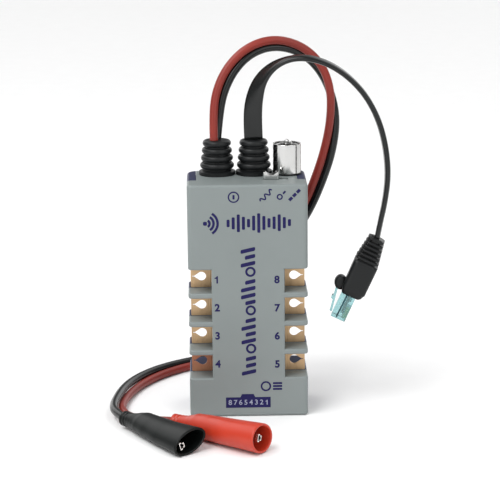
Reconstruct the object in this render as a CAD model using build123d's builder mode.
"""Tone generator test set: a hand-sized case with eight wire-clip contacts, a push-on coax
connector, a modular jack, a modular cord with its plug, and a two-wire test lead with clips.

Millimetres. The case stands on its lower end: +Z is up, +X is to the right across the
front, the front face looks towards -Y, and the origin is the centre of the base.
"""
import math
import os

from build123d import *

os.makedirs("parts", exist_ok=True)

# ---------------------------------------------------------------- driving dimensions
CASE_WIDTH = 50.8
CASE_DEPTH = 33.0
CASE_HEIGHT = 101.6
WALL = 2.0
FRONT_CORNER_R = 2.0
REAR_CORNER_R = 4.5
RIM_R = 1.2
SEAM = 0.15                      # gap between the two shells at their joint
SPLIT_DEPTH = 11.0               # depth of the front shell behind the front face
TONGUE_WIDTH = 43.0              # the front shell's panel that carries the connectors

CONTACT_PITCH = 12.5
CONTACT_MID_Z = 41.1             # middle of the column of four contacts
CONTACT_WINDOW = 10.2            # height of each window beside the case
WINDOW_WALL_X = 15.5             # outer face of the wall that ends each window
WINDOW_EDGE_R = 0.7
PLATE_THICKNESS = 0.6
TEARDROP_R = 1.95

BOARD_THICKNESS = 1.6
BOARD_STANDOFF = 3.0
SCREW_POST_R = 3.2

BOOT_Y = 8.0
LEAD_BOOT_X = -12.4
CORD_BOOT_X = 3.4
BOOT_HEIGHT = 15.0
COAX_X, COAX_Y = 17.6, 7.0
COAX_R = 6.05
COAX_HEIGHT = 13.4
SWITCH_X, SWITCH_Y = 10.3, -3.9
SWITCH_TRAVEL = 5.6

STRAND_R = 1.8                   # each wire of the test lead
STRAND_SPACING = 3.72
FLAT_WIDTH, FLAT_THICKNESS = 8.0, 2.5
FLAT_TUBE_R = 2.25               # round tube of about the flat cord's section

PLUG_WIDTH, PLUG_THICKNESS, PLUG_LENGTH = 11.68, 6.6, 21.5
CLIP_LENGTH = 45.6

# ---------------------------------------------------------------- derived positions
FRONT_Y = -CASE_DEPTH / 2
REAR_Y = CASE_DEPTH / 2
SPLIT_Y = FRONT_Y + SPLIT_DEPTH
TOP_Z = CASE_HEIGHT
INNER_TOP_Z = CASE_HEIGHT - WALL
BOARD_FRONT_Y = FRONT_Y + WALL + BOARD_STANDOFF
BOARD_REAR_Y = BOARD_FRONT_Y + BOARD_THICKNESS
CONTACT_ZS = [CONTACT_MID_Z + CONTACT_PITCH * step for step in (1.5, 0.5, -0.5, -1.5)]
COLUMN_HALF = CONTACT_PITCH * 1.5 + CONTACT_WINDOW / 2
INNER_HALF_X = WINDOW_WALL_X - 1.5
POST_PLACES = [(side * 19.9, z) for side in (-1, 1) for z in (8.5, 80.0)]
BOARD_SCREW_PLACES = [(-13.4, 71.0), (13.4, 71.0), (-10.8, 12.0), (10.8, 12.0)]

CENTRED_UP = (Align.CENTER, Align.CENTER, Align.MIN)


def case_outline(inset, z):
    """The case's plan outline, drawn in by inset, at height z."""
    with BuildSketch(Plane.XY.offset(z)) as outline:
        Rectangle(CASE_WIDTH - 2 * inset, CASE_DEPTH - 2 * inset)
        fillet(outline.vertices().group_by(Axis.Y)[0], max(FRONT_CORNER_R - inset, 0.6))
        fillet(outline.vertices().group_by(Axis.Y)[-1], REAR_CORNER_R - inset)
    return outline.sketch


def front_region(gap):
    """The space that belongs to the front shell: the front of the case and the top panel."""
    reach = 2 * CASE_WIDTH
    with BuildPart() as region:
        with Locations((0, SPLIT_Y + gap, CASE_HEIGHT / 2)):
            Box(reach, reach, reach + CASE_HEIGHT, align=(Align.CENTER, Align.MAX, Align.CENTER))
        with Locations((0, 0, INNER_TOP_Z - gap)):
            Box(TONGUE_WIDTH + 2 * gap, reach, reach, align=CENTRED_UP)
    return region.part


# ---------------------------------------------------------------- case
with BuildPart() as case_form:
    add(case_outline(0, 0))
    extrude(amount=CASE_HEIGHT)
    fillet(case_form.edges().group_by(Axis.Z)[-1], RIM_R)
    fillet(case_form.edges().group_by(Axis.Z)[0], RIM_R)
    window_depth = CASE_WIDTH / 2 - WINDOW_WALL_X
    window_x = WINDOW_WALL_X + window_depth / 2 + 1
    with Locations([(side * window_x, 0, z) for side in (-1, 1) for z in CONTACT_ZS]):
        Box(window_depth + 2, CASE_DEPTH + 2, CONTACT_WINDOW, mode=Mode.SUBTRACT)
    window_edges = (
        case_form.edges()
        .filter_by(lambda e: abs(e.center().Z - CONTACT_MID_Z) < COLUMN_HALF + 0.1)
        .filter_by(lambda e: abs(abs(e.center().Y) - CASE_DEPTH / 2) < 0.01)
        .filter_by(lambda e: abs(e.center().X) > WINDOW_WALL_X - 0.1)
    )
    fillet(window_edges, WINDOW_EDGE_R)
    lower_top = CONTACT_MID_Z - COLUMN_HALF - WALL
    upper_bottom = CONTACT_MID_Z + COLUMN_HALF + WALL
    add(case_outline(WALL, WALL))
    extrude(amount=lower_top - WALL, mode=Mode.SUBTRACT)
    add(case_outline(WALL, upper_bottom))
    extrude(amount=INNER_TOP_Z - upper_bottom, mode=Mode.SUBTRACT)
    with Locations((0, 0, lower_top)):
        Box(2 * INNER_HALF_X, CASE_DEPTH - 2 * WALL, upper_bottom - lower_top,
            align=CENTRED_UP, mode=Mode.SUBTRACT)

JACK_WIDTH, JACK_DEPTH, JACK_HEIGHT = 15.6, 13.2, 16.0
JACK_BASE_Z = 0.5
JACK_Y = BOARD_REAR_Y + JACK_DEPTH / 2
SWITCH_SLOT = (SWITCH_TRAVEL + 3.4, 2.8)
SWITCH_MID_X = SWITCH_X + SWITCH_TRAVEL / 2
BOOT_NECK_R = 5.6
COAX_STEM_R = 3.7
DOOR_WIDTH, DOOR_BOTTOM, DOOR_TOP = 26.2, 18.2, 72.0

with BuildPart() as front_shell:
    add(case_form.part)
    add(front_region(0), mode=Mode.INTERSECT)
    # the posts that take the case screws, and the standoffs behind the front wall
    with BuildSketch(Plane.XZ.offset(-(FRONT_Y + WALL))):
        with Locations(POST_PLACES):
            Circle(SCREW_POST_R)
    extrude(amount=-(SPLIT_DEPTH - WALL))
    with BuildSketch(Plane.XZ.offset(-(FRONT_Y + WALL))):
        with Locations(BOARD_SCREW_PLACES):
            Circle(2.2)
    extrude(amount=-BOARD_STANDOFF)
    with BuildSketch(Plane.XZ.offset(-SPLIT_Y)):
        with Locations(POST_PLACES):
            Circle(1.25)
    extrude(amount=SPLIT_DEPTH - WALL, mode=Mode.SUBTRACT)
    with BuildSketch(Plane.XZ.offset(-BOARD_FRONT_Y)):
        with Locations(BOARD_SCREW_PLACES):
            Circle(0.85)
    extrude(amount=BOARD_STANDOFF, mode=Mode.SUBTRACT)
    # openings in the top panel
    with BuildSketch(Plane.XY.offset(INNER_TOP_Z - 1)):
        with Locations((LEAD_BOOT_X, BOOT_Y), (CORD_BOOT_X, BOOT_Y)):
            Circle(BOOT_NECK_R)
        with Locations((COAX_X, COAX_Y)):
            Circle(COAX_STEM_R)
        with Locations((SWITCH_MID_X, SWITCH_Y)):
            Rectangle(*SWITCH_SLOT)
    extrude(amount=WALL + 2, mode=Mode.SUBTRACT)
    # slits for the contact plates' tabs, and the jack's opening
    with Locations([(side * (WINDOW_WALL_X - 0.75), SPLIT_Y, z)
                    for side in (-1, 1) for z in CONTACT_ZS]):
        Box(2.5, 2 * PLATE_THICKNESS + 0.1, 5.4, mode=Mode.SUBTRACT)
    with Locations((0, JACK_Y, 0)):
        Box(JACK_WIDTH + 0.3, JACK_DEPTH + 0.3, 3 * WALL, mode=Mode.SUBTRACT)
front_shell.part.label = "front_shell"
export_step(front_shell.part, "parts/front_shell.step")

POST_SEAT_Y = 1.0
RIB_REAR_Y = 5.0                 # the ribs between the windows stop here, so a clip can reach in
RIB_STACK = 2 * CONTACT_PITCH + CONTACT_WINDOW
with BuildPart() as rear_shell:
    add(case_form.part)
    add(front_region(SEAM), mode=Mode.SUBTRACT)
    with Locations([(side * window_x, RIB_REAR_Y, CONTACT_MID_Z) for side in (-1, 1)]):
        Box(window_depth + 2, CASE_DEPTH, RIB_STACK,
            align=(Align.CENTER, Align.MIN, Align.CENTER), mode=Mode.SUBTRACT)
    post_length = REAR_Y - WALL - SPLIT_Y - SEAM
    with BuildSketch(Plane.XZ.offset(-(SPLIT_Y + SEAM))):
        with Locations(POST_PLACES):
            Circle(SCREW_POST_R)
    extrude(amount=-post_length)
    with BuildSketch(Plane.XZ.offset(-(SPLIT_Y - 1))):
        with Locations(POST_PLACES):
            Circle(1.45)
    extrude(amount=-(CASE_DEPTH), mode=Mode.SUBTRACT)
    with BuildSketch(Plane.XZ.offset(-POST_SEAT_Y)):
        with Locations(POST_PLACES):
            Circle(2.55)
    extrude(amount=-CASE_DEPTH, mode=Mode.SUBTRACT)
    with Locations((0, REAR_Y - WALL / 2, (DOOR_BOTTOM + DOOR_TOP) / 2)):
        Box(DOOR_WIDTH + 0.6, WALL + 2, DOOR_TOP - DOOR_BOTTOM + 0.6, mode=Mode.SUBTRACT)
    with Locations((0, JACK_Y, 0)):
        Box(JACK_WIDTH + 0.3, JACK_DEPTH + 0.3, 3 * WALL, mode=Mode.SUBTRACT)
rear_shell.part.label = "rear_shell"
export_step(rear_shell.part, "parts/rear_shell.step")

with BuildPart() as battery_cover:
    with Locations((0, REAR_Y - WALL / 2, (DOOR_BOTTOM + DOOR_TOP) / 2)):
        Box(DOOR_WIDTH, WALL, DOOR_TOP - DOOR_BOTTOM)
    fillet(battery_cover.edges().filter_by(Axis.Y), 1.0)
    chamfer(battery_cover.faces().sort_by(Axis.Y)[-1].edges(), 0.4)
    with Locations([(0, REAR_Y, DOOR_TOP - 6 - 2.2 * row) for row in range(5)]):
        Box(14, 1.0, 1.0, mode=Mode.SUBTRACT)
battery_cover.part.label = "battery_cover"
export_step(battery_cover.part, "parts/battery_cover.step")

with BuildPart() as case_screws:
    with BuildSketch(Plane.XZ.offset(-POST_SEAT_Y)):
        with Locations(POST_PLACES):
            Circle(2.4)
    extrude(amount=-1.9)
    fillet(case_screws.faces().group_by(Axis.Y)[-1].edges(), 0.6)
    with BuildSketch(Plane.XZ.offset(-POST_SEAT_Y)):
        with Locations(POST_PLACES):
            Circle(1.25)
    extrude(amount=12.5)
    with Locations([(x, POST_SEAT_Y + 1.9, z) for x, z in POST_PLACES]):
        Box(2.6, 1.6, 0.6, mode=Mode.SUBTRACT)
        Box(0.6, 1.6, 2.6, mode=Mode.SUBTRACT)
case_screws.part.label = "case_screws"
export_step(case_screws.part, "parts/case_screws.step")

# ---------------------------------------------------------------- contacts
HOLE_X = 19.8
PLATE_OUTER_X = 24.4
PLATE_INNER_X = WINDOW_WALL_X + 0.1
TAB_INNER_X = INNER_HALF_X - 1.1
PLATE_FRONT_Y = SPLIT_Y - PLATE_THICKNESS


def contact_plate(side, z):
    """A bent strip: the plate in its window, a rolled outer lip and a leg to the board."""
    tip = 3.1
    tangent = math.acos(TEARDROP_R / tip)
    touch_x = HOLE_X + TEARDROP_R * math.cos(tangent)
    touch_z = TEARDROP_R * math.sin(tangent)
    slot_half = 0.22
    with BuildPart() as plate:
        with BuildSketch(Plane.XZ.offset(-PLATE_FRONT_Y)) as face:
            with Locations((side * (PLATE_INNER_X + PLATE_OUTER_X) / 2, z)):
                RectangleRounded(PLATE_OUTER_X - PLATE_INNER_X, 9.6, 0.5)
            with Locations((side * (TAB_INNER_X + PLATE_INNER_X + 1) / 2, z)):
                Rectangle(PLATE_INNER_X + 1 - TAB_INNER_X, 5.2)
            with Locations((side * HOLE_X, z)):
                Circle(TEARDROP_R, mode=Mode.SUBTRACT)
            Polygon((side * touch_x, z + touch_z), (side * (HOLE_X + tip), z + slot_half),
                    (side * (HOLE_X + tip), z - slot_half), (side * touch_x, z - touch_z),
                    align=None, mode=Mode.SUBTRACT)
            with Locations((side * (HOLE_X + tip + 0.2), z)):
                Rectangle(1.2, 2 * slot_half, mode=Mode.SUBTRACT)
        extrude(amount=-PLATE_THICKNESS)
        with Locations((side * (PLATE_OUTER_X - PLATE_THICKNESS / 2), PLATE_FRONT_Y, z)):
            Box(PLATE_THICKNESS, 2.2, 8.6, align=(Align.CENTER, Align.MIN, Align.CENTER))
        with Locations((side * (TAB_INNER_X + PLATE_THICKNESS / 2), BOARD_REAR_Y, z)):
            Box(PLATE_THICKNESS, SPLIT_Y - BOARD_REAR_Y, 5.2,
                align=(Align.CENTER, Align.MIN, Align.CENTER))
    return plate


contact_places = [(-1, z) for z in CONTACT_ZS] + [(1, z) for z in reversed(CONTACT_ZS)]
for number, (side, z) in enumerate(contact_places, start=1):
    plate = contact_plate(side, z)
    plate.part.label = f"contact_plate_{number}"
    export_step(plate.part, f"parts/contact_plate_{number}.step")

# ---------------------------------------------------------------- board and battery
with BuildPart() as circuit_board:
    with BuildSketch(Plane.XZ.offset(-BOARD_FRONT_Y)):
        with Locations((0, 3.0)):
            Rectangle(2 * TAB_INNER_X + 1.4, 66.0, align=(Align.CENTER, Align.MIN))
        with Locations((0, upper_bottom + 0.3)):
            Rectangle(32.4, 24.0, align=(Align.CENTER, Align.MIN))
        with Locations(BOARD_SCREW_PLACES):
            Circle(1.1, mode=Mode.SUBTRACT)
    extrude(amount=-BOARD_THICKNESS)
circuit_board.part.label = "circuit_board"
export_step(circuit_board.part, "parts/circuit_board.step")

with BuildPart() as board_screws:
    with BuildSketch(Plane.XZ.offset(-BOARD_REAR_Y)):
        with Locations(BOARD_SCREW_PLACES):
            Circle(1.8)
    extrude(amount=-1.2)
    with BuildSketch(Plane.XZ.offset(-BOARD_REAR_Y)):
        with Locations(BOARD_SCREW_PLACES):
            Circle(0.85)
    extrude(amount=BOARD_THICKNESS + 2.6)
board_screws.part.label = "board_screws"
export_step(board_screws.part, "parts/board_screws.step")

CHIP_Z = 44.0
with BuildPart() as tone_chip:
    with Locations((0, BOARD_REAR_Y + 0.2, CHIP_Z)):
        Box(7.6, 1.8, 10.2, align=(Align.CENTER, Align.MIN, Align.CENTER))
    leg_zs = [CHIP_Z + 1.27 * (step - 3) for step in range(7)]
    with Locations([(0, BOARD_REAR_Y, z) for z in leg_zs]):
        Box(10.4, 0.9, 0.45, align=(Align.CENTER, Align.MIN, Align.CENTER))
tone_chip.part.label = "tone_chip"
export_step(tone_chip.part, "parts/tone_chip.step")

with BuildPart() as chip_resistors:
    with Locations([(side * 9.2, BOARD_REAR_Y, z) for side, z in contact_places]):
        Box(3.2, 0.6, 1.6, align=(Align.CENTER, Align.MIN, Align.CENTER))
chip_resistors.part.label = "chip_resistors"
export_step(chip_resistors.part, "parts/chip_resistors.step")

with BuildPart() as capacitors:
    with BuildSketch(Plane.XZ.offset(-BOARD_REAR_Y)):
        with Locations((-1.0, 80.5), (7.0, 80.5)):
            Circle(3.1)
    extrude(amount=-7.0)
    fillet(capacitors.faces().group_by(Axis.Y)[-1].edges(), 0.5)
capacitors.part.label = "capacitors"
export_step(capacitors.part, "parts/capacitors.step")

BATTERY_BASE_Z = 19.6
BATTERY_TOP_Z = BATTERY_BASE_Z + 46.4
BATTERY_Y = REAR_Y - WALL - 0.7 - 17.2 / 2
TERMINAL_X = 6.35
with BuildPart() as battery:
    with Locations((0, BATTERY_Y, BATTERY_BASE_Z)):
        Box(26.2, 17.2, 46.4, align=CENTRED_UP)
    fillet(battery.edges().filter_by(Axis.Z), 2.0)
    fillet(battery.edges().group_by(Axis.Z)[-1], 0.6)
    with Locations((-TERMINAL_X, BATTERY_Y, BATTERY_TOP_Z)):
        Cylinder(2.9, 2.1, align=CENTRED_UP)
    with Locations((TERMINAL_X, BATTERY_Y, BATTERY_TOP_Z)):
        Cylinder(3.8, 2.1, align=CENTRED_UP)
battery.part.label = "battery"
export_step(battery.part, "parts/battery.step")

SNAP_Z = BATTERY_TOP_Z + 0.3
with BuildPart() as battery_snap:
    with Locations((0, BATTERY_Y, SNAP_Z)):
        Box(25.0, 12.4, 4.0, align=CENTRED_UP)
    fillet(battery_snap.edges().filter_by(Axis.Z), 3.0)
    with Locations((-TERMINAL_X, BATTERY_Y, SNAP_Z), (TERMINAL_X, BATTERY_Y, SNAP_Z)):
        Cylinder(4.1, 2.2, align=CENTRED_UP, mode=Mode.SUBTRACT)
battery_snap.part.label = "battery_snap"
export_step(battery_snap.part, "parts/battery_snap.step")


def wire(points, wire_radius, bends):
    """A round wire along straight runs joined by arcs."""
    with BuildPart() as strand:
        with BuildLine() as path:
            FilletPolyline(*points, radius=bends)
        with BuildSketch(Plane(origin=path.line @ 0, z_dir=path.line % 0)):
            Circle(wire_radius)
        sweep()
    return strand.part


with BuildPart() as battery_leads:
    for x in (-10.0, -7.6):
        top = SNAP_Z + 4.0
        add(wire([(x, BATTERY_Y, top), (x, BATTERY_Y, top + 5), (x, BOARD_REAR_Y, top + 5)],
                 0.7, [3.0]))
battery_leads.part.label = "battery_leads"
export_step(battery_leads.part, "parts/battery_leads.step")

# ---------------------------------------------------------------- modular jack
MOUTH_WIDTH, MOUTH_DEPTH = 11.9, 7.0
MOUTH_FRONT_Y = BOARD_REAR_Y + 3.9
SOCKET_HEIGHT = 13.6
with BuildPart() as jack_housing:
    with Locations((0, JACK_Y, JACK_BASE_Z)):
        Box(JACK_WIDTH, JACK_DEPTH, JACK_HEIGHT, align=CENTRED_UP)
    up_from_front = (Align.CENTER, Align.MIN, Align.MIN)
    with Locations((0, MOUTH_FRONT_Y, JACK_BASE_Z)):
        Box(MOUTH_WIDTH, MOUTH_DEPTH, SOCKET_HEIGHT, align=up_from_front, mode=Mode.SUBTRACT)
    with Locations((0, MOUTH_FRONT_Y - 1.5, JACK_BASE_Z)):
        Box(6.4, 1.6, SOCKET_HEIGHT, align=up_from_front, mode=Mode.SUBTRACT)
    with Locations((0, MOUTH_FRONT_Y - 2.9, JACK_BASE_Z)):
        Box(3.6, 1.5, SOCKET_HEIGHT, align=up_from_front, mode=Mode.SUBTRACT)
jack_housing.part.label = "jack_housing"
export_step(jack_housing.part, "parts/jack_housing.step")

with BuildPart() as jack_contacts:
    finger_back_y = MOUTH_FRONT_Y + MOUTH_DEPTH
    for step in range(8):
        x = (step - 3.5) * 1.02
        add(wire([(x, finger_back_y - 2.4, 12.6), (x, finger_back_y - 0.3, 3.4),
                  (x, finger_back_y + 1.1, 5.0), (x, finger_back_y + 1.1, 17.4),
                  (x, BOARD_REAR_Y, 17.4)], 0.22, [0.5, 0.5, 0.5]))
jack_contacts.part.label = "jack_contacts"
export_step(jack_contacts.part, "parts/jack_contacts.step")

# ---------------------------------------------------------------- coax connector
COAX_BASE_Z = TOP_Z + 0.8
COAX_RIM_Z = TOP_Z + COAX_HEIGHT
coax_axis = Axis((COAX_X, COAX_Y, 0), (0, 0, 1))
coax_plane = Plane(origin=(COAX_X, COAX_Y, 0), x_dir=(1, 0, 0), z_dir=(0, -1, 0))

with BuildPart() as coax_shell:
    with BuildSketch(coax_plane):
        Polygon((2.4, 93.6), (COAX_STEM_R - 0.05, 93.6), (COAX_STEM_R - 0.05, COAX_BASE_Z),
                (COAX_R, COAX_BASE_Z), (COAX_R, COAX_RIM_Z), (COAX_R - 0.6, COAX_RIM_Z),
                (COAX_R - 0.6, COAX_BASE_Z + 1.6), (2.4, COAX_BASE_Z + 1.6), align=None)
    revolve(axis=coax_axis)
    fillet(coax_shell.edges().filter_by(GeomType.CIRCLE).group_by(Axis.Z)[-1], 0.25)
coax_shell.part.label = "coax_shell"
export_step(coax_shell.part, "parts/coax_shell.step")

with BuildPart() as coax_collet:
    with BuildSketch(coax_plane):
        Polygon((4.6, COAX_BASE_Z + 1.6), (5.2, COAX_BASE_Z + 1.6), (5.2, COAX_RIM_Z - 1.6),
                (4.75, COAX_RIM_Z - 0.7), (4.25, COAX_RIM_Z - 0.9), (4.6, COAX_RIM_Z - 2.4),
                align=None)
    revolve(axis=coax_axis)
    with Locations(Location((COAX_X, COAX_Y, COAX_BASE_Z + 3.6))):
        with PolarLocations(4.9, 6):
            Box(2.4, 0.8, 20, align=CENTRED_UP, mode=Mode.SUBTRACT)
coax_collet.part.label = "coax_collet"
export_step(coax_collet.part, "parts/coax_collet.step")

with BuildPart() as coax_gasket:
    with BuildSketch(Plane.XY.offset(TOP_Z)):
        with Locations((COAX_X, COAX_Y)):
            Circle(COAX_R + 0.15)
            Circle(COAX_STEM_R, mode=Mode.SUBTRACT)
    extrude(amount=COAX_BASE_Z - TOP_Z)
coax_gasket.part.label = "coax_gasket"
export_step(coax_gasket.part, "parts/coax_gasket.step")

with BuildPart() as coax_insulator:
    with BuildSketch(coax_plane):
        Polygon((1.0, 93.6), (2.4, 93.6), (2.4, COAX_BASE_Z + 1.6), (4.5, COAX_BASE_Z + 1.6),
                (4.5, COAX_BASE_Z + 4.0), (1.0, COAX_BASE_Z + 4.0), align=None)
    revolve(axis=coax_axis)
coax_insulator.part.label = "coax_insulator"
export_step(coax_insulator.part, "parts/coax_insulator.step")

PIN_TIP_Z = COAX_RIM_Z + 1.7
with BuildPart() as coax_pin:
    with Locations((COAX_X, COAX_Y, 91.6)):
        Cylinder(1.0, PIN_TIP_Z - 91.6, align=CENTRED_UP)
    fillet(coax_pin.edges().group_by(Axis.Z)[-1], 0.8)
coax_pin.part.label = "coax_pin"
export_step(coax_pin.part, "parts/coax_pin.step")

with BuildPart() as coax_nut:
    with BuildSketch(Plane.XY.offset(INNER_TOP_Z - 2.6)):
        with Locations((COAX_X, COAX_Y)):
            RegularPolygon(5.4, 6, major_radius=False, rotation=30)
            Circle(COAX_STEM_R - 0.05, mode=Mode.SUBTRACT)
    extrude(amount=2.6)
coax_nut.part.label = "coax_nut"
export_step(coax_nut.part, "parts/coax_nut.step")

with BuildPart() as coax_wire:
    add(wire([(COAX_X, COAX_Y, 91.6), (COAX_X, COAX_Y, 87.0), (14.4, 0.5, 86.0),
              (14.4, BOARD_REAR_Y, 86.0)], 0.6, [1.6, 3.0]))
coax_wire.part.label = "coax_wire"
export_step(coax_wire.part, "parts/coax_wire.step")

# ---------------------------------------------------------------- slide switch
SWITCH_BODY = (15.0, 5.4, 5.0)
SWITCH_TOP_Z = INNER_TOP_Z - 0.5
with BuildPart() as switch_frame:
    with Locations((SWITCH_MID_X, SWITCH_Y, SWITCH_TOP_Z)):
        Box(18.0, 6.4, 0.5, align=CENTRED_UP)
        Box(*SWITCH_SLOT, 0.5, align=CENTRED_UP, mode=Mode.SUBTRACT)
    for side in (-1, 1):
        with Locations((SWITCH_MID_X, SWITCH_Y + side * 2.95, SWITCH_TOP_Z)):
            Box(12.0, 0.5, 3.4, align=(Align.CENTER, Align.CENTER, Align.MAX))
switch_frame.part.label = "switch_frame"
export_step(switch_frame.part, "parts/switch_frame.step")

with BuildPart() as switch_body:
    with Locations((SWITCH_MID_X, SWITCH_Y, SWITCH_TOP_Z)):
        Box(*SWITCH_BODY, align=(Align.CENTER, Align.CENTER, Align.MAX))
        Box(*SWITCH_SLOT, 3.0, align=(Align.CENTER, Align.CENTER, Align.MAX),
            mode=Mode.SUBTRACT)
switch_body.part.label = "switch_body"
export_step(switch_body.part, "parts/switch_body.step")

with BuildPart() as switch_terminals:
    for step in (-1, 0, 1):
        x = SWITCH_MID_X + 3.6 * step
        base_z = SWITCH_TOP_Z - SWITCH_BODY[2]
        add(wire([(x, SWITCH_Y, base_z), (x, SWITCH_Y, base_z - 2.6),
                  (x, BOARD_REAR_Y, base_z - 2.6)], 0.35, [0.8]))
switch_terminals.part.label = "switch_terminals"
export_step(switch_terminals.part, "parts/switch_terminals.step")

KNOB_WIDTH, KNOB_DEPTH, KNOB_HEIGHT = 6.8, 4.6, 3.0
with BuildPart() as switch_knob:
    with Locations((SWITCH_X, SWITCH_Y, TOP_Z + 0.2)):
        Box(KNOB_WIDTH, KNOB_DEPTH, KNOB_HEIGHT, align=CENTRED_UP)
    fillet(switch_knob.edges().filter_by(Axis.Z), 0.8)
    with BuildSketch(Plane.XZ.offset(-SWITCH_Y)):
        with Locations((SWITCH_X, TOP_Z + 0.2 + KNOB_HEIGHT + 1.6)):
            Circle(2.9)
    extrude(amount=KNOB_DEPTH, both=True, mode=Mode.SUBTRACT)
    fillet(switch_knob.faces().group_by(Axis.Z)[-1].edges(), 0.35)
    with Locations((SWITCH_X, SWITCH_Y, TOP_Z + 0.4)):
        Box(2.8, 2.2, 5.0, align=(Align.CENTER, Align.CENTER, Align.MAX))
switch_knob.part.label = "switch_knob"
export_step(switch_knob.part, "parts/switch_knob.step")

# ---------------------------------------------------------------- cord boots on the case
RING_COUNT = 4
FLANGE_R, FLANGE_HEIGHT = 7.75, 2.2
RING_BASE_R, RING_TOP_R = 7.3, 6.1


def ribbed_boot(centre_x):
    """A rubber strain relief: neck in the panel, flange outside, rings that taper upward."""
    boot_plane = Plane(origin=(centre_x, BOOT_Y, 0), x_dir=(1, 0, 0), z_dir=(0, -1, 0))
    ring_pitch = (BOOT_HEIGHT - FLANGE_HEIGHT) / RING_COUNT
    groove = 0.45
    with BuildPart() as boot:
        with BuildSketch(boot_plane):
            with BuildLine():
                low = INNER_TOP_Z - 2.0
                Polyline((0, low), (6.2, low), (6.2, INNER_TOP_Z), (BOOT_NECK_R, INNER_TOP_Z),
                         (BOOT_NECK_R, TOP_Z), (FLANGE_R, TOP_Z),
                         (FLANGE_R, TOP_Z + FLANGE_HEIGHT - 0.7))
                start = (FLANGE_R, TOP_Z + FLANGE_HEIGHT - 0.7)
                core_r = RING_BASE_R - 1.1
                Line(start, (core_r, TOP_Z + FLANGE_HEIGHT))
                for ring in range(RING_COUNT):
                    share = ring / (RING_COUNT - 1)
                    ring_r = RING_BASE_R + (RING_TOP_R - RING_BASE_R) * share
                    z0 = TOP_Z + FLANGE_HEIGHT + ring * ring_pitch
                    next_core = ring_r - 1.1 - (RING_BASE_R - RING_TOP_R) / (RING_COUNT - 1)
                    Line((core_r, z0), (core_r, z0 + groove))
                    ThreePointArc((core_r, z0 + groove), (ring_r, z0 + (ring_pitch + groove) / 2),
                                  (next_core, z0 + ring_pitch))
                    core_r = next_core
                Line((core_r, TOP_Z + BOOT_HEIGHT), (0, TOP_Z + BOOT_HEIGHT))
                Line((0, TOP_Z + BOOT_HEIGHT), (0, low))
            make_face()
        revolve(axis=Axis((centre_x, BOOT_Y, 0), (0, 0, 1)))
    return boot.part


BOOT_TOP_Z = TOP_Z + BOOT_HEIGHT
LEAD_EXIT = [(-13.6, 6.3), (-12.2, 9.75)]       # the red wire's place and the black one's
with BuildPart() as lead_boot:
    add(ribbed_boot(LEAD_BOOT_X))
    with BuildSketch(Plane.XY.offset(INNER_TOP_Z - 3)):
        with Locations(LEAD_EXIT):
            Circle(STRAND_R)
    extrude(amount=WALL + BOOT_HEIGHT + 4, mode=Mode.SUBTRACT)
lead_boot.part.label = "lead_boot"
export_step(lead_boot.part, "parts/lead_boot.step")

with BuildPart() as cord_boot:
    add(ribbed_boot(CORD_BOOT_X))
    with BuildSketch(Plane.XY.offset(INNER_TOP_Z - 3)):
        with Locations((CORD_BOOT_X, BOOT_Y)):
            Rectangle(FLAT_WIDTH, FLAT_THICKNESS)
    extrude(amount=WALL + BOOT_HEIGHT + 4, mode=Mode.SUBTRACT)
cord_boot.part.label = "cord_boot"
export_step(cord_boot.part, "parts/cord_boot.step")

TAIL_Z = 87.6
with BuildPart() as lead_tails:
    for x, y in LEAD_EXIT:
        add(wire([(x, y, BOOT_TOP_Z), (x, y, TAIL_Z + (y - 6)), (x, BOARD_REAR_Y, TAIL_Z + (y - 6))],
                 STRAND_R, [5.0]))
lead_tails.part.label = "lead_tails"
export_step(lead_tails.part, "parts/lead_tails.step")

with BuildPart() as cord_tail:
    with BuildLine() as tail_path:
        FilletPolyline((CORD_BOOT_X, BOOT_Y, BOOT_TOP_Z), (CORD_BOOT_X, BOOT_Y, TAIL_Z),
                       (CORD_BOOT_X, BOARD_REAR_Y, TAIL_Z), radius=5.0)
    with BuildSketch(Plane(origin=tail_path.line @ 0, x_dir=(1, 0, 0), z_dir=(0, 0, -1))):
        Rectangle(FLAT_WIDTH, FLAT_THICKNESS)
    sweep()
cord_tail.part.label = "cord_tail"
export_step(cord_tail.part, "parts/cord_tail.step")

# ---------------------------------------------------------------- free cords
def unit(vector):
    return vector * (1.0 / vector.length)


def bend_radii(points, name):
    """The largest arc at each corner that leaves a little straight run between arcs."""
    corners = [Vector(*p) for p in points]
    radii = []
    for before, corner, after in zip(corners, corners[1:], corners[2:]):
        run_in, run_out = corner - before, after - corner
        turn = math.radians(run_in.get_angle(run_out))
        radii.append(0.45 * min(run_in.length, run_out.length) / math.tan(turn / 2))
    print(name, "smallest bend radii", [round(r, 1) for r in sorted(radii)[:4]])
    return radii


def cord_tube(points, tube_r, name):
    """A plain round tube along the route, checked against its section times its length."""
    with BuildPart() as tube:
        with BuildLine() as route:
            FilletPolyline(*points, radius=bend_radii(points, name))
        with BuildSketch(Plane(origin=route.line @ 0, z_dir=route.line % 0)):
            Circle(tube_r)
        sweep()
    length = sum(edge.length for edge in route.edges())
    swept = math.pi * tube_r ** 2 * length
    print(name, "length", round(length, 1), "volume ratio", round(tube.part.volume / swept, 4))
    return tube.part


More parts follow.
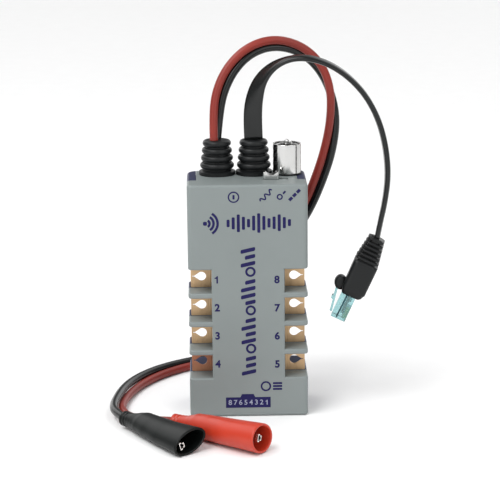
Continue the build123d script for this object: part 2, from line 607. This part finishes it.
# The test lead's two wires lie side by side. Each row is the middle of the pair and the
# direction from the red wire to the black one.
PAIR_ROUTE = [
    ((-12.6, 8.2, 126.5), (0.70, 0.70, 0.05)),
    ((-10.9, 10.4, 137.0), (0.88, 0.45, -0.22)),
    ((-6.0, 13.1, 146.6), (0.82, 0.36, -0.44)),
    ((1.8, 16.0, 153.8), (0.48, 0.42, -0.77)),
    ((12.2, 18.8, 156.9), (0.05, 0.45, -0.89)),
    ((23.4, 21.6, 154.2), (-0.28, 0.60, -0.75)),
    ((32.2, 23.8, 146.8), (-0.45, 0.78, -0.42)),
    ((37.4, 25.5, 135.9), (-0.10, 0.99, -0.05)),
    ((39.0, 26.2, 122.5), (0.72, 0.68, 0.05)),
    ((37.0, 27.0, 108.5), (0.97, 0.20, -0.12)),
    ((32.8, 28.2, 95.0), (0.94, 0.22, -0.25)),
    ((27.6, 30.0, 82.0), (0.92, 0.26, -0.30)),
    ((20.6, 33.6, 69.6), (0.86, 0.34, -0.38)),
    ((13.2, 38.2, 57.8), (0.81, 0.50, -0.25)),
    ((7.4, 43.8, 45.8), (0.75, 0.66, 0.03)),
    ((4.4, 49.6, 34.2), (0.66, 0.71, 0.23)),
    ((2.4, 55.2, 22.8), (0.52, 0.77, 0.36)),
    ((-1.4, 59.6, 12.8), (0.30, 0.86, 0.42)),
    ((-7.4, 61.8, 5.8), (0.10, 0.92, 0.38)),
    ((-15.6, 60.6, 2.8), (-0.12, 0.93, 0.34)),
    ((-24.6, 55.8, 2.5), (-0.32, 0.89, 0.33)),
    ((-33.8, 48.6, 2.6), (-0.50, 0.76, 0.41)),
    ((-42.4, 38.4, 2.8), (-0.60, 0.60, 0.53)),
    ((-49.2, 26.2, 3.0), (-0.65, 0.38, 0.65)),
    ((-53.8, 12.8, 3.2), (-0.64, 0.15, 0.75)),
    ((-56.2, -1.0, 3.3), (-0.62, 0.05, 0.78)),
]
BLACK_END = [(-58.6, -11.0, 4.4), (-57.8, -19.4, 3.9)]
RED_END = [(-55.2, -10.5, 1.95), (-52.4, -19.0, 1.95), (-46.4, -27.0, 2.9), (-39.2, -32.4, 4.1)]


def strand_points(sign, start, finish):
    """One wire's route: out of the boot, beside the pair's middle, then on to its clip."""
    points = [start]
    for middle, direction in PAIR_ROUTE:
        offset = unit(Vector(*direction)) * (sign * STRAND_SPACING / 2)
        points.append(tuple(Vector(*middle) + offset))
    return points + finish


# ---------------------------------------------------------------- test clips
def clip_frame(mouth, tail_z, heading, roll):
    """Axes of a clip that lies on the bench: its tail, its axis and its wide direction."""
    mouth = Vector(*mouth)
    rise = (mouth.Z - tail_z) / CLIP_LENGTH
    level = math.sqrt(1 - rise ** 2)
    turn, tilt = math.radians(heading), math.radians(roll)
    axis = Vector(level * math.cos(turn), -level * math.sin(turn), rise)
    side = unit(Vector(0, 0, 1).cross(axis))
    up = axis.cross(side)
    wide = side * math.cos(tilt) + up * math.sin(tilt)
    return mouth - axis * CLIP_LENGTH, axis, wide


# mouth: half width and half height of the insulator's open end
# barrel: its half heights behind the mouth
# tip: how far the closed jaws' tips lie from the insulator's axis
CLIPS = {
    "black": dict(frame=clip_frame((-24.9, -64.3, 5.4), 3.9, 52.0, 17.5), mouth=(8.3, 4.9),
                  barrel=(3.95, 4.15, 4.3), tip=-3.6),
    "red": dict(frame=clip_frame((4.3, -64.8, 6.5), 5.2, 37.5, -17.0), mouth=(7.2, 6.2),
                barrel=(5.1, 5.4, 5.7), tip=-0.4),
}
CLIP_WALL = 1.1
PIVOT_S, PIVOT_Q = 19.0, 0.3
PIN_R = 0.75
JAW_HALF = 1.6                   # half the width of the fixed jaw


def clip_insulator(frame, mouth, barrel):
    """The soft boot: round neck, raised thumb pad, then a widening oval barrel."""
    tail, axis, wide = frame

    def section(along, half_wide, half_up, shift):
        plane = Plane(origin=tail + axis * along, x_dir=wide, z_dir=axis)
        with BuildSketch(plane) as oval:
            with Locations((shift, 0)):
                Ellipse(half_wide, half_up)
        return oval.sketch

    wide_end, high_end = mouth
    stations = [(6.0, 3.4, 3.3, 0.0), (9.0, 4.9, 0.5 * (3.3 + barrel[0]), 0.9),
                (12.0, 5.8, barrel[0], 1.1), (19.0, 6.3, barrel[1], 0.6),
                (29.0, 7.0, barrel[2], 0.0),
                (CLIP_LENGTH, wide_end, high_end, 0.0)]
    with BuildPart() as insulator:
        extrude(section(0, 3.4, 3.3, 0.0), amount=6.0)
        loft([section(*station) for station in stations], ruled=True)
        loft([section(along, half_wide - CLIP_WALL, half_up - CLIP_WALL, shift)
              for along, half_wide, half_up, shift in stations[2:]], ruled=True,
             mode=Mode.SUBTRACT)
        with BuildSketch(Plane(origin=tail, x_dir=wide, z_dir=axis)):
            Circle(STRAND_R)
        extrude(amount=12.5, mode=Mode.SUBTRACT)
    return insulator.part


def profile_plane(frame):
    """Side view of a clip: X runs along its axis and Y across it, in its wide direction."""
    tail, axis, wide = frame
    return Plane(origin=tail, x_dir=axis, z_dir=axis.cross(wide))


def channel(plane, outline, inner, half_width, sheet):
    """A folded channel: the outline's solid, hollowed by the inner outline."""
    with BuildPart() as folded:
        with BuildSketch(plane):
            Polygon(*outline, align=None)
        extrude(amount=half_width, both=True)
        with BuildSketch(plane):
            Polygon(*inner, align=None)
        extrude(amount=half_width - sheet, both=True, mode=Mode.SUBTRACT)
    return folded.part


for colour, clip in CLIPS.items():
    frame, tip = clip["frame"], clip["tip"]
    plane = profile_plane(frame)
    insulator = clip_insulator(frame, clip["mouth"], clip["barrel"])
    insulator.label = f"{colour}_clip_insulator"
    export_step(insulator, f"parts/{colour}_clip_insulator.step")

    sheet = 0.5
    pivot = (PIVOT_S, PIVOT_Q)
    fixed = channel(
        plane,
        [(9.0, -2.3), (14.0, -2.7), (24.0, -3.3), (43.4, tip - 1.5), (44.4, tip - 1.2),
         (44.4, tip - 0.15), (25.0, -1.1), (21.4, 1.6), (16.6, 1.6), (14.4, -0.6), (9.0, -0.6)],
        [(8.0, -1.8), (14.0, -2.2), (24.0, -2.8), (43.6, tip - 1.0), (45.4, tip - 0.7),
         (45.4, tip + 3.0), (8.0, tip + 8.0)],
        JAW_HALF, sheet)
    with BuildPart() as fixed_jaw:
        add(fixed)
        with BuildSketch(plane):
            with Locations(pivot):
                Circle(PIN_R)
        extrude(amount=4, both=True, mode=Mode.SUBTRACT)
    fixed_jaw.part.label = f"{colour}_clip_fixed_jaw"
    export_step(fixed_jaw.part, f"parts/{colour}_clip_fixed_jaw.step")

    moving = channel(
        plane,
        [(44.4, tip + 0.15), (44.4, tip + 1.1), (43.4, tip + 1.4), (24.0, 2.2), (19.0, 3.2),
         (14.0, 4.7), (13.8, 4.1), (16.6, 2.6), (17.4, -0.9), (20.6, -0.9), (25.4, -0.5)],
        [(45.4, tip - 2.0), (45.4, tip + 0.6), (43.2, tip + 0.9), (24.0, 1.7), (19.0, 2.7),
         (16.9, 3.3), (16.0, -2.0)],
        JAW_HALF - 0.55, 0.4)
    with BuildPart() as moving_jaw:
        add(moving)
        with BuildSketch(plane):
            with Locations(pivot):
                Circle(PIN_R + 0.05)
        extrude(amount=4, both=True, mode=Mode.SUBTRACT)
    moving_jaw.part.label = f"{colour}_clip_moving_jaw"
    export_step(moving_jaw.part, f"parts/{colour}_clip_moving_jaw.step")

    with BuildPart() as pivot_pin:
        with BuildSketch(plane):
            with Locations(pivot):
                Circle(PIN_R)
        extrude(amount=JAW_HALF, both=True)
        with BuildSketch(plane.offset(JAW_HALF), plane.offset(-JAW_HALF - sheet)):
            with Locations(pivot):
                Circle(1.2)
        extrude(amount=sheet)
    pivot_pin.part.label = f"{colour}_clip_pin"
    export_step(pivot_pin.part, f"parts/{colour}_clip_pin.step")

    with BuildPart() as clip_spring:
        with BuildSketch(plane.offset(-0.6)):
            with Locations(pivot):
                Circle(1.35)
                Circle(0.95, mode=Mode.SUBTRACT)
        extrude(amount=1.2)
    clip_spring.part.label = f"{colour}_clip_spring"
    export_step(clip_spring.part, f"parts/{colour}_clip_spring.step")

    print(colour, "pivot", tuple(round(v, 3) for v in plane.from_local_coords((*pivot, 0))),
          "hinge axis", tuple(round(v, 4) for v in plane.z_dir))

black_tail, black_axis, _ = CLIPS["black"]["frame"]
red_tail, red_axis, _ = CLIPS["red"]["frame"]
red_points = strand_points(-1, (*LEAD_EXIT[0], BOOT_TOP_Z), RED_END + [tuple(red_tail)])
black_points = strand_points(1, (*LEAD_EXIT[1], BOOT_TOP_Z), BLACK_END + [tuple(black_tail)])

with BuildPart() as test_lead_red:
    add(cord_tube(red_points, STRAND_R, "test_lead_red"))
test_lead_red.part.label = "test_lead_red"
export_step(test_lead_red.part, "parts/test_lead_red.step")

with BuildPart() as test_lead_black:
    add(cord_tube(black_points, STRAND_R, "test_lead_black"))
test_lead_black.part.label = "test_lead_black"
export_step(test_lead_black.part, "parts/test_lead_black.step")

# ---------------------------------------------------------------- modular cord and plug
PLUG_NOSE = Vector(39.0, -4.0, 40.6)
PLUG_TILT, PLUG_ROLL = math.radians(24.5), math.radians(8.0)
plug_back = Vector(math.sin(PLUG_TILT), 0, math.cos(PLUG_TILT))
latch_side = (Vector(-math.cos(PLUG_TILT), 0, math.sin(PLUG_TILT)) * math.cos(PLUG_ROLL)
              + Vector(0, 1, 0) * math.sin(PLUG_ROLL))
plug_width_dir = latch_side.cross(plug_back)
PLUG_BOOT_FRONT, PLUG_BOOT_RIBS, PLUG_BOOT_END = 11.2, 27.6, 38.6
PLUG_BOOT_SHIFT = -1.15          # the boot is thicker on the contacts' side
CORD_SHIFT = -0.8


def across_plug(along, shift=0.0):
    """Plane across the plug's axis: X across its width, Y towards the latch."""
    return Plane(origin=PLUG_NOSE + plug_back * along + latch_side * shift,
                 x_dir=plug_width_dir, z_dir=plug_back)


side_plane = Plane(origin=PLUG_NOSE, x_dir=plug_back, z_dir=plug_back.cross(latch_side))

with BuildPart() as plug_housing:
    with BuildSketch(across_plug(0)):
        Rectangle(PLUG_WIDTH, PLUG_THICKNESS)
    extrude(amount=PLUG_LENGTH)
    fillet(plug_housing.faces().sort_by(Axis(tuple(PLUG_NOSE), tuple(plug_back)))[0].edges(), 0.5)
    with BuildSketch(across_plug(3.0, -0.6)):
        Rectangle(8.8, 1.6)
    extrude(amount=PLUG_LENGTH, mode=Mode.SUBTRACT)
    with BuildSketch(across_plug(9.0, CORD_SHIFT)):
        Rectangle(FLAT_WIDTH + 0.2, FLAT_THICKNESS + 0.2)
    extrude(amount=PLUG_LENGTH, mode=Mode.SUBTRACT)
    with BuildSketch(across_plug(1.0, -2.5)):
        with GridLocations(1.02, 1, 8, 1):
            Rectangle(0.5, 2.4)
    extrude(amount=5.6, mode=Mode.SUBTRACT)
plug_housing.part.label = "plug_housing"
export_step(plug_housing.part, "parts/plug_housing.step")

with BuildPart() as plug_contacts:
    with BuildSketch(across_plug(1.2, -2.35)):
        with GridLocations(1.02, 1, 8, 1):
            Rectangle(0.32, 1.7)
    extrude(amount=5.2)
plug_contacts.part.label = "plug_contacts"
export_step(plug_contacts.part, "parts/plug_contacts.step")

with BuildPart() as plug_conductors:
    with BuildSketch(across_plug(3.2, -0.75)):
        with GridLocations(1.02, 1, 8, 1):
            Circle(0.42)
    extrude(amount=9.0)
plug_conductors.part.label = "plug_conductors"
export_step(plug_conductors.part, "parts/plug_conductors.step")

with BuildPart() as plug_cord_end:
    with BuildSketch(across_plug(12.3, CORD_SHIFT)):
        Rectangle(FLAT_WIDTH, FLAT_THICKNESS)
    extrude(amount=(PLUG_BOOT_END - 12.3))
plug_cord_end.part.label = "plug_cord_end"
export_step(plug_cord_end.part, "parts/plug_cord_end.step")

LATCH_ROOT = (1.6, PLUG_THICKNESS / 2 + 0.75)
HUMP_S, HUMP_R = 14.2, 2.2
with BuildPart() as plug_latch:
    with BuildSketch(side_plane):
        with BuildLine():
            Polyline((1.0, 3.6), (2.2, 3.6), (13.4, 5.6), (13.4, 6.6), (8.0, 5.8), (7.6, 6.4),
                     (6.4, 6.2), (6.2, 5.3), (1.4, 4.5), (1.0, 3.6))
        make_face()
        with Locations(LATCH_ROOT):
            Circle(0.55)
    extrude(amount=1.6, both=True)
plug_latch.part.label = "plug_latch"
export_step(plug_latch.part, "parts/plug_latch.step")

with BuildPart() as plug_boot:
    with BuildSketch(across_plug(PLUG_BOOT_FRONT, PLUG_BOOT_SHIFT)):
        RectangleRounded(14.0, 10.0, 2.2)
    with BuildSketch(across_plug(PLUG_BOOT_RIBS, PLUG_BOOT_SHIFT)):
        RectangleRounded(12.6, 8.6, 2.6)
    loft()
    ring_pitch = (PLUG_BOOT_END - PLUG_BOOT_RIBS) / 6
    with BuildSketch(across_plug(PLUG_BOOT_RIBS, PLUG_BOOT_SHIFT)):
        RectangleRounded(10.6, 7.4, 2.4)
    with BuildSketch(across_plug(PLUG_BOOT_END, PLUG_BOOT_SHIFT)):
        RectangleRounded(9.4, 5.6, 2.0)
    loft()
    for ring in range(6):
        ring_base = PLUG_BOOT_RIBS + ring * ring_pitch + 0.75
        shrink = 0.34 * ring
        with BuildSketch(across_plug(ring_base, PLUG_BOOT_SHIFT)):
            RectangleRounded(12.6 - shrink, 9.6 - shrink, 2.4)
        extrude(amount=(ring_pitch - 0.75))
    with BuildSketch(side_plane):
        with Locations((HUMP_S, 5.4)):
            SlotOverall(7.0, 2 * HUMP_R + 1.0, rotation=24)
    extrude(amount=3.4, both=True)
    with BuildSketch(across_plug(PLUG_BOOT_FRONT - 1)):
        Rectangle(PLUG_WIDTH + 0.1, PLUG_THICKNESS + 0.1)
    extrude(amount=(PLUG_LENGTH - PLUG_BOOT_FRONT + 1.1), mode=Mode.SUBTRACT)
    with BuildSketch(across_plug(PLUG_BOOT_FRONT, CORD_SHIFT)):
        Rectangle(FLAT_WIDTH, FLAT_THICKNESS)
    extrude(amount=40, mode=Mode.SUBTRACT)
    with BuildSketch(across_plug(8.0, 5.45)):
        Rectangle(4.2, 4.2)
    extrude(amount=6.2, mode=Mode.SUBTRACT)
plug_boot.part.label = "plug_boot"
export_step(plug_boot.part, "parts/plug_boot.step")

CORD_ROUTE = [
    (CORD_BOOT_X, BOOT_Y, BOOT_TOP_Z),
    (3.0, 7.8, 124.5),
    (3.6, 7.0, 134.0),
    (6.6, 6.0, 143.2),
    (13.4, 4.8, 149.8),
    (23.0, 3.4, 152.6),
    (33.4, 1.8, 150.6),
    (42.8, 0.2, 145.0),
    (50.6, -1.4, 136.8),
    (56.2, -2.8, 126.2),
    (59.2, -3.8, 114.4),
    (60.2, -4.3, 102.4),
    (58.9, -4.3, 91.0),
    (57.2, -4.1, 83.0),
]
cord_finish = PLUG_NOSE + plug_back * PLUG_BOOT_END + latch_side * CORD_SHIFT
with BuildPart() as modular_cord:
    add(cord_tube(CORD_ROUTE + [tuple(cord_finish)], FLAT_TUBE_R, "modular_cord"))
modular_cord.part.label = "modular_cord"
export_step(modular_cord.part, "parts/modular_cord.step")

latch_pivot = side_plane.from_local_coords((*LATCH_ROOT, 0))
print("latch pivot", tuple(round(v, 3) for v in latch_pivot),
      "axis", tuple(round(v, 4) for v in side_plane.z_dir))
